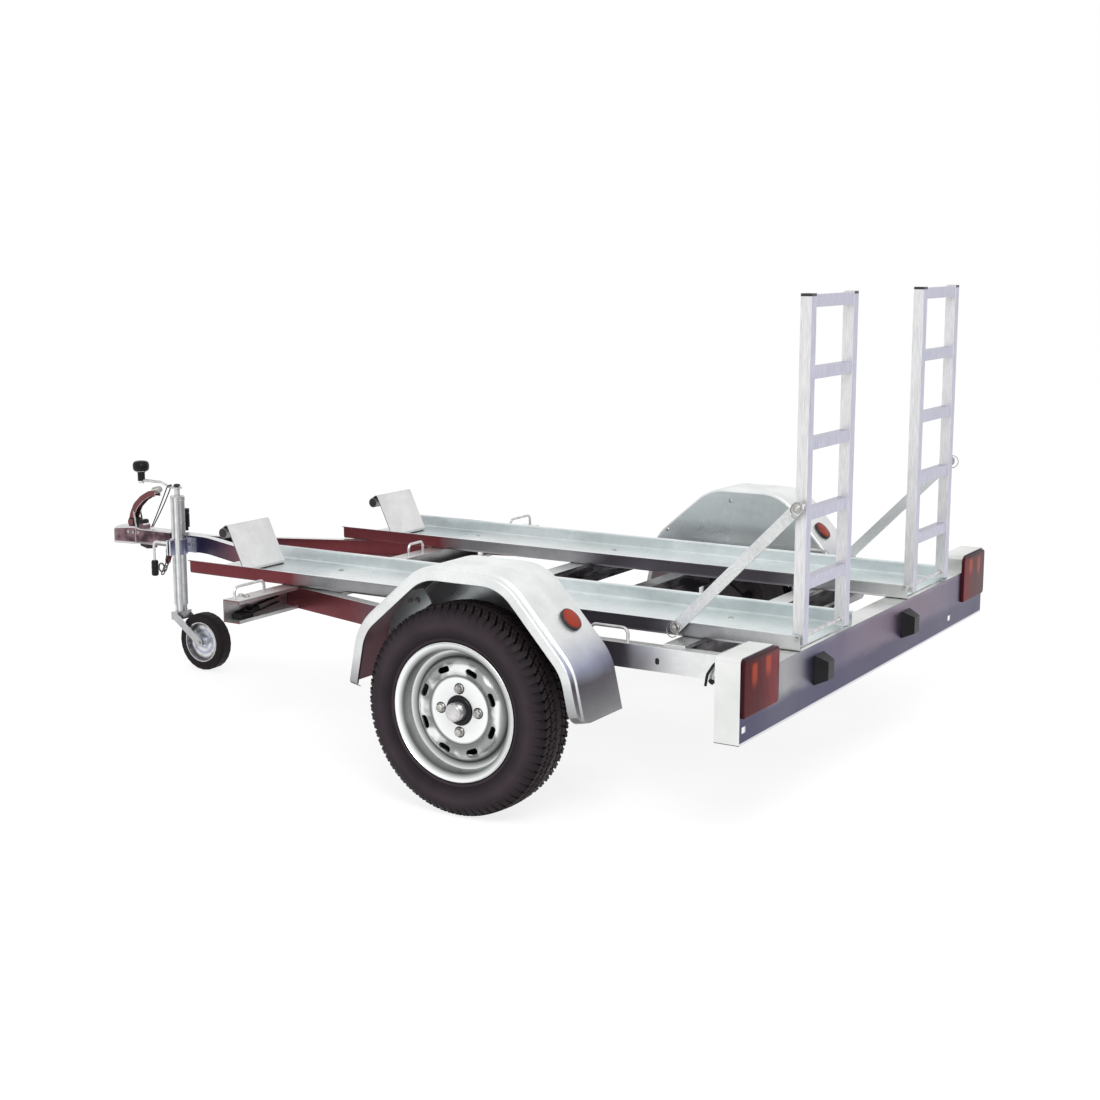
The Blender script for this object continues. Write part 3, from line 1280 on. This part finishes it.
def jockey_wheel():
    """A steel rim with a solid tyre."""
    half = JOCKEY_WHEEL_WIDTH / 2
    radius = JOCKEY_WHEEL_RADIUS
    seat = radius - JOCKEY_TYRE_HEIGHT
    bore = FORK_AXLE_RADIUS + PIN_CLEARANCE
    centre = (JOCKEY_WHEEL_X, JOCKEY_Y, radius)
    shoulder = JOCKEY_TYRE_HEIGHT / 4
    tyre_profile = [
        (seat + SEAT_GAP, half),
        (radius - shoulder, half),
        (radius, half - shoulder),
        (radius, shoulder - half),
        (radius - shoulder, -half),
        (seat + SEAT_GAP, -half),
    ]
    add("jockey_tyre", turned(tyre_profile, "Y", centre), rubber, origin=centre)
    rim_profile = [
        (bore, half),
        (JOCKEY_RIM_DISH, half),
        (JOCKEY_RIM_DISH, half - JOCKEY_RIM_DISH),
        (seat - JOCKEY_RIM_DISH / 2, half - JOCKEY_RIM_DISH),
        (seat - JOCKEY_RIM_DISH / 4, half),
        (seat, half),
    ]
    rim_profile += [(r, -y) for r, y in rim_profile[::-1]]
    add("jockey_rim", turned(rim_profile, "Y", centre), zinc, origin=centre)


def jockey_clamp():
    """A split collar on a plate that is bolted to the side of the drawbar."""
    low = CLAMP_BOTTOM_Z
    high = low + CLAMP_HEIGHT
    bore = JOCKEY_OUTER_RADIUS + SEAT_GAP
    collar = pipe(bore + CLAMP_WALL, bore, low, high)
    made = add("jockey_clamp", turned(collar, "Z", (JOCKEY_X, JOCKEY_Y, 0)), zinc)
    plate_y = DRAWBAR_OUTER_Y + SEAT_GAP
    half = CLAMP_PLATE_LENGTH / 2
    plate = box_outline(JOCKEY_X - half, JOCKEY_X + half, plate_y, plate_y + CLAMP_WALL)
    join(made, prism(plate, "Z", low, high))
    neck_half = JOCKEY_OUTER_RADIUS / 2
    neck_ends = (plate_y + CLAMP_WALL / 2, JOCKEY_Y - bore - CLAMP_WALL / 4)
    join(made, prism(box_outline(JOCKEY_X - neck_half, JOCKEY_X + neck_half, *neck_ends), "Z", low, high))
    ear_y = JOCKEY_Y + bore + CLAMP_WALL / 2
    for x in (JOCKEY_X + CLAMP_EAR_GAP / 2, JOCKEY_X - CLAMP_EAR_GAP / 2 - CLAMP_WALL):
        ear = box_outline(x, x + CLAMP_WALL, ear_y, ear_y + CLAMP_EAR_REACH)
        join(made, prism(ear, "Z", low, high))
    slit = box_outline(
        JOCKEY_X - CLAMP_EAR_GAP / 2,
        JOCKEY_X + CLAMP_EAR_GAP / 2,
        JOCKEY_Y,
        ear_y + CLAMP_EAR_REACH + CUT_OVERRUN,
    )
    cut(made, prism(slit, "Z", low - CUT_OVERRUN, high + CUT_OVERRUN))
    screw_y = ear_y + CLAMP_EAR_REACH / 2
    screw_z = low + CLAMP_SCREW_RISE
    handle_x = JOCKEY_X + CLAMP_HANDLE_REACH
    corners = [
        (JOCKEY_X - CLAMP_EAR_GAP / 2 - CLAMP_WALL / 2, screw_y, screw_z),
        (handle_x, screw_y, screw_z),
        (handle_x, screw_y, screw_z - CLAMP_HANDLE_DROP),
    ]
    join(made, rod(rounded(corners, 2 * CLAMP_SCREW_RADIUS), CLAMP_SCREW_RADIUS))
    top = screw_z - CLAMP_HANDLE_DROP + CLAMP_SCREW_RADIUS
    bottom = top - CLAMP_GRIP_LENGTH
    grip = [
        (0, bottom),
        (CLAMP_SCREW_RADIUS, bottom),
        (CLAMP_GRIP_RADIUS, bottom + CLAMP_GRIP_EDGE),
        (CLAMP_GRIP_RADIUS, top - CLAMP_GRIP_EDGE),
        (CLAMP_SCREW_RADIUS + PIN_CLEARANCE, top),
        (0, top),
    ]
    join(made, turned(grip, "Z", (handle_x, screw_y, 0), PIN_SIDES))


def coupling_ring(x, half_width, low, high, edge_share):
    """A section of the coupling, its upper edges rounded and its lower edges flared."""
    lip = low + COUPLING_LIP_HEIGHT
    foot = half_width + COUPLING_LIP_FLARE
    left = [(-foot, low), (-half_width, lip), (-half_width, high)]
    points = left + [(-y, z) for y, z in left[::-1]]
    return [placed("X", x, *point) for point in rounded(points, half_width * edge_share, 3)]


def coupling():
    """A pressed head round the drawbar's tube, with its cup open below and its latch on top."""
    back_half = TUBE_HALF_WIDTH + SEAT_GAP + COUPLING_WALL
    ball_x = COUPLING_TIP_X - COUPLING_HEAD_RADIUS
    head = COUPLING_HEAD_RADIUS
    side = head * math.sqrt(3) / 2
    skirt = COUPLING_SKIRT_Z
    top = COUPLING_TOP_Z
    back = (back_half, COUPLING_BACK_BOTTOM_Z, COUPLING_BACK_TOP_Z, COUPLING_BACK_EDGE_SHARE)
    rings = [
        coupling_ring(COUPLING_BACK_X, *back),
        coupling_ring(TUBE_FRONT_X + COUPLING_WALL, *back),
        coupling_ring(COUPLING_NECK_X, COUPLING_NECK_HALF_WIDTH, skirt, top, COUPLING_NECK_EDGE_SHARE),
        coupling_ring(ball_x - head / 2, side, skirt, top, COUPLING_HEAD_EDGE_SHARE),
        coupling_ring(ball_x, head, skirt, top, COUPLING_HEAD_EDGE_SHARE),
        coupling_ring(ball_x + head / 2, side, skirt, top - COUPLING_WALL, COUPLING_HEAD_EDGE_SHARE),
        coupling_ring(COUPLING_TIP_X, head / 2, skirt, top - head / 3, COUPLING_HEAD_EDGE_SHARE),
    ]
    made = add("coupling", loft(rings), black_steel)
    half = TUBE_HALF_WIDTH + SEAT_GAP
    pocket = box_outline(-half, half, COUPLING_BACK_BOTTOM_Z - CUT_OVERRUN, TUBE_TOP_Z + SEAT_GAP)
    cut(made, prism(pocket, "X", COUPLING_BACK_X - CUT_OVERRUN, TUBE_FRONT_X + SEAT_GAP))
    radius = COUPLING_BALL_RADIUS
    cup = [(0, skirt - CUT_OVERRUN), (radius, skirt - CUT_OVERRUN)]
    for i in range(BEND_STEPS):
        turn = math.pi / 2 * i / BEND_STEPS
        cup.append((radius * math.cos(turn), COUPLING_BALL_Z + radius * math.sin(turn)))
    cup.append((0, COUPLING_BALL_Z + radius))
    cut(made, turned(cup, "Z", (ball_x, 0, 0)))
    join(made, cross_pin(LATCH_X, COUPLING_BACK_TOP_Z + LATCH_RADIUS / 2, LATCH_RADIUS, LATCH_WIDTH))


def cross_pin(x, z, radius, width):
    """A round boss that lies across the coupling."""
    profile = [(0, -width / 2), (radius, -width / 2), (radius, width / 2), (0, width / 2)]
    return turned(profile, "Y", (x, 0, z), PIN_SIDES)


def coupling_lever():
    """A curved handle of folded sheet over the coupling, with the boss that it turns on."""
    half = LEVER_WIDTH / 2
    points = [(-LEVER_DEPTH, -half), (0, -half), (0, half), (-LEVER_DEPTH, half)]
    path = rounded(LEVER_LINE, LEVER_BEND_RADIUS, 2)
    made = add("coupling_lever", bent(path, folded(points, -LEVER_SHEET), "Y"), black_steel)
    boss_z = COUPLING_TOP_Z + SEAT_GAP + LEVER_BOSS_RADIUS
    join(made, cross_pin(LEVER_PIVOT_X, boss_z, LEVER_BOSS_RADIUS, LEVER_BOSS_WIDTH))


for old in list(bpy.data.objects):
    bpy.data.objects.remove(old)

chassis = bpy.data.objects.new("chassis", None)
chassis.location = (CHASSIS_X, 0, 0)
bpy.context.scene.collection.objects.link(chassis)

galvanised = material("galvanised steel", (0.62, 0.64, 0.65), 0.42, 0.85)
zinc = material("bright zinc", (0.72, 0.72, 0.70), 0.30, 0.95)
dark_steel = material("dark steel", (0.20, 0.20, 0.21), 0.50, 0.80)
cast = material("hub iron", (0.55, 0.55, 0.54), 0.45, 0.70)
black_steel = material("black coupling", (0.30, 0.30, 0.31), 0.40, 0.60)
aluminium = material("ramp aluminium", (0.80, 0.80, 0.79), 0.35, 0.90)
guard_finish = material("mudguard sheet", (0.78, 0.79, 0.79), 0.50, 0.20)
painted_silver = material("silver wheel paint", (0.68, 0.69, 0.70), 0.38, 0.50)
rubber = material("tyre rubber", (0.03, 0.03, 0.03), 0.80, 0.0)
black_plastic = material("black plastic", (0.02, 0.02, 0.02), 0.40, 0.0)
red_lens = material("red lens", (0.55, 0.03, 0.02), 0.15, 0.0)
amber = material("amber reflector", (0.80, 0.18, 0.02), 0.20, 0.0)

for name, side in SIDES:
    side_rail(name, side)
    drawbar_arm(name, side)
    outrigger(name, side)
    tail_lamp(name, side)
    track(name, side)
    wheel_stop(name, side)
    ramp(name, side)
    ramp_pivot(name, side)
    brace(name, side)
    trailing_arm(name, side)
    hub(name, side)
    rim(name, side)
    tyre(name, side)
    mudguard(name, side)
    guard_bracket(name, side)
    reflector(name, side)
cross_member("rear_cross_member", REAR_MEMBER_X)
cross_member("middle_cross_member", MIDDLE_MEMBER_X)
cross_member("front_cross_member", FRONT_MEMBER_X)
drawbar_tube()
rear_light_bar()
plate_lamp("outer", PLATE_CENTRE_Y + PLATE_LAMP_SPREAD)
plate_lamp("inner", PLATE_CENTRE_Y - PLATE_LAMP_SPREAD)
axle_beam()
tie_loops()
jockey_tubes()
jockey_crank()
jockey_fork()
jockey_wheel()
jockey_clamp()
coupling()
coupling_lever()
